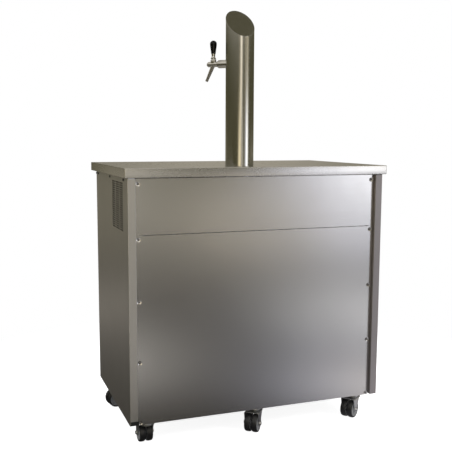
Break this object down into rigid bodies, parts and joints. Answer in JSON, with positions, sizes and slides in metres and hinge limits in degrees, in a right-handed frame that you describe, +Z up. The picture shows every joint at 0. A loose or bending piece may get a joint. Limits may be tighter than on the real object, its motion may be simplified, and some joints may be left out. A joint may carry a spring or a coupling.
{
  "type": "draft beer dispenser",
  "caption": "Two-door refrigerated keg cabinet of brushed stainless steel on swivel castors, with a slant-topped round tower and a tap with a black knob.",
  "frame": {"origin": "on the floor under the middle of the worktop", "axes": "+Z up; +X along the worktop, away from the side panel with the air slots; -Y towards the closed customer side, +Y towards the doors"},
  "size_m": [1.1, 0.7, 1.6894],
  "materials": {
    "steel_sheet": "brushed stainless sheet, fine grain",
    "worktop_steel": "brushed stainless sheet, grain along the length",
    "tower_steel": "polished and brushed stainless tube",
    "tap_metal": "satin and bright chromed brass",
    "galvanised": "zinc-coated sheet steel",
    "zinc": "bright zinc plating",
    "black_metal": "black enamel",
    "fin_metal": "dull aluminium",
    "copper": "bare copper tube",
    "board": "plywood",
    "foam": "rigid foam",
    "soft_foam": "closed-cell foam sleeve",
    "door_lining": "smooth white lining",
    "seal": "soft grey-black seal",
    "black_plastic": "polished black plastic",
    "matt_black": "matt black plastic",
    "white_plastic": "white plastic",
    "clear_hose": "cloudy hose",
    "red_plastic": "red translucent plastic",
    "wheel": "dark tread on a light grey disc"
  },
  "bodies": {
    "cabinet": {"base_frame": "black_metal", "side_panel_left": "steel_sheet", "side_panel_right": "steel_sheet", "rear_panel_upper": "steel_sheet", "rear_panel_lower": "steel_sheet", "panel_screws": "zinc", "side_bolts": "matt_black", "worktop": "worktop_steel", "worktop_board": "board", "insulation": "foam", "inner_liner": "steel_sheet", "machine_deck": "galvanised", "front_fascia": "steel_sheet", "mullion": "steel_sheet", "hinge_brackets": "zinc", "castor_plates": "zinc", "castor_bolts": "zinc", "thermostat": "white_plastic", "power_switch": "matt_black", "cable_gland": "matt_black", "compressor": "black_metal", "condenser": "fin_metal", "fan_shroud": "galvanised", "fan_motor": "galvanised", "evaporator": "fin_metal", "refrigerant_pipes": "copper", "tower_tube": "tower_steel", "tower_cap": "tower_steel", "tower_clamp": "galvanised", "beer_line": "clear_hose", "line_insulation": "soft_foam", "keg_union": "tap_metal", "tap_shank": "tap_metal", "tap_body": "tap_metal"},
    "door_left": {"door_left_skin": "steel_sheet", "door_left_inner": "door_lining", "door_left_gasket": "seal", "door_left_handle": "zinc"},
    "door_right": {"door_right_skin": "steel_sheet", "door_right_inner": "door_lining", "door_right_gasket": "seal", "door_right_handle": "zinc"},
    "tap_lever_set": {"tap_lever": "tap_metal", "tap_knob": "black_plastic"},
    "tap_plunger": {"tap_plunger": "white_plastic"},
    "thermostat_knob": {"thermostat_knob": "matt_black"},
    "switch_rocker": {"switch_rocker": "red_plastic"},
    "fan": {"fan_blades": "matt_black"},
    "castor_fork_1": {"castor_fork_1": "zinc"},
    "castor_wheels_1": {"castor_wheels_1": "wheel"},
    "castor_fork_2": {"castor_fork_2": "zinc"},
    "castor_wheels_2": {"castor_wheels_2": "wheel"},
    "castor_fork_3": {"castor_fork_3": "zinc"},
    "castor_wheels_3": {"castor_wheels_3": "wheel"},
    "castor_fork_4": {"castor_fork_4": "zinc"},
    "castor_wheels_4": {"castor_wheels_4": "wheel"},
    "castor_fork_5": {"castor_fork_5": "zinc"},
    "castor_wheels_5": {"castor_wheels_5": "wheel"},
    "castor_fork_6": {"castor_fork_6": "zinc"},
    "castor_wheels_6": {"castor_wheels_6": "wheel"}
  },
  "joints": [
    {"name": "door_left_hinge", "type": "hinge", "parent": "cabinet", "child": "door_left", "pos_m": [-0.5065, 0.277, 0.4649], "axis": [0, 0, 1], "range_deg": [0, 105]},
    {"name": "door_right_hinge", "type": "hinge", "parent": "cabinet", "child": "door_right", "pos_m": [0.5065, 0.277, 0.4649], "axis": [0, 0, -1], "range_deg": [0, 105]},
    {"name": "tap_lever_hinge", "type": "hinge", "parent": "cabinet", "child": "tap_lever_set", "pos_m": [-0.14896, -0.17504, 1.494], "axis": [-0.7071, -0.7071, 0], "range_deg": [0, 35]},
    {"name": "tap_plunger_slide", "type": "slide", "parent": "cabinet", "child": "tap_plunger", "axis": [0.7071, -0.7071, 0], "range_m": [0, 0.0072]},
    {"name": "thermostat_turn", "type": "hinge", "parent": "cabinet", "child": "thermostat_knob", "pos_m": [0.3, 0.293, 0.961], "axis": [0, 1, 0], "range_deg": [-135, 135]},
    {"name": "switch_rock", "type": "hinge", "parent": "cabinet", "child": "switch_rocker", "pos_m": [0.4, 0.284, 0.961], "axis": [1, 0, 0], "range_deg": [0, 14]},
    {"name": "fan_spin", "type": "hinge", "parent": "cabinet", "child": "fan", "pos_m": [-0.4535, -0.161, 0.934], "axis": [1, 0, 0], "continuous": true},
    {"name": "castor_swivel_1", "type": "hinge", "parent": "cabinet", "child": "castor_fork_1", "pos_m": [-0.46, -0.2766, 0.09], "axis": [0, 0, 1], "continuous": true},
    {"name": "castor_roll_1", "type": "hinge", "parent": "castor_fork_1", "child": "castor_wheels_1", "pos_m": [-0.46, -0.2426, 0.0375], "axis": [-1, 0, 0], "continuous": true},
    {"name": "castor_swivel_2", "type": "hinge", "parent": "cabinet", "child": "castor_fork_2", "pos_m": [0, -0.2766, 0.09], "axis": [0, 0, 1], "continuous": true},
    {"name": "castor_roll_2", "type": "hinge", "parent": "castor_fork_2", "child": "castor_wheels_2", "pos_m": [-0.0214, -0.30302, 0.0375], "axis": [0.7771, -0.6293, 0], "continuous": true},
    {"name": "castor_swivel_3", "type": "hinge", "parent": "cabinet", "child": "castor_fork_3", "pos_m": [0.46, -0.2766, 0.09], "axis": [0, 0, 1], "continuous": true},
    {"name": "castor_roll_3", "type": "hinge", "parent": "castor_fork_3", "child": "castor_wheels_3", "pos_m": [0.43249, -0.29658, 0.0375], "axis": [0.5878, -0.809, 0], "continuous": true},
    {"name": "castor_swivel_4", "type": "hinge", "parent": "cabinet", "child": "castor_fork_4", "pos_m": [-0.46, 0.1787, 0.09], "axis": [0, 0, 1], "continuous": true},
    {"name": "castor_roll_4", "type": "hinge", "parent": "castor_fork_4", "child": "castor_wheels_4", "pos_m": [-0.49326, 0.17163, 0.0375], "axis": [0.2079, -0.9781, 0], "continuous": true},
    {"name": "castor_swivel_5", "type": "hinge", "parent": "cabinet", "child": "castor_fork_5", "pos_m": [0, 0.1787, 0.09], "axis": [0, 0, 1], "continuous": true},
    {"name": "castor_roll_5", "type": "hinge", "parent": "castor_fork_5", "child": "castor_wheels_5", "pos_m": [-0.02185, 0.20475, 0.0375], "axis": [-0.766, -0.6428, 0], "continuous": true},
    {"name": "castor_swivel_6", "type": "hinge", "parent": "cabinet", "child": "castor_fork_6", "pos_m": [0.46, 0.1787, 0.09], "axis": [0, 0, 1], "continuous": true},
    {"name": "castor_roll_6", "type": "hinge", "parent": "castor_fork_6", "child": "castor_wheels_6", "pos_m": [0.477, 0.14926, 0.0375], "axis": [0.866, 0.5, 0], "continuous": true}
  ],
  "couplings": [
    {"joint": "tap_plunger_slide", "follows": "tap_lever_hinge", "m_per_rad": 0.0115}
  ]
}
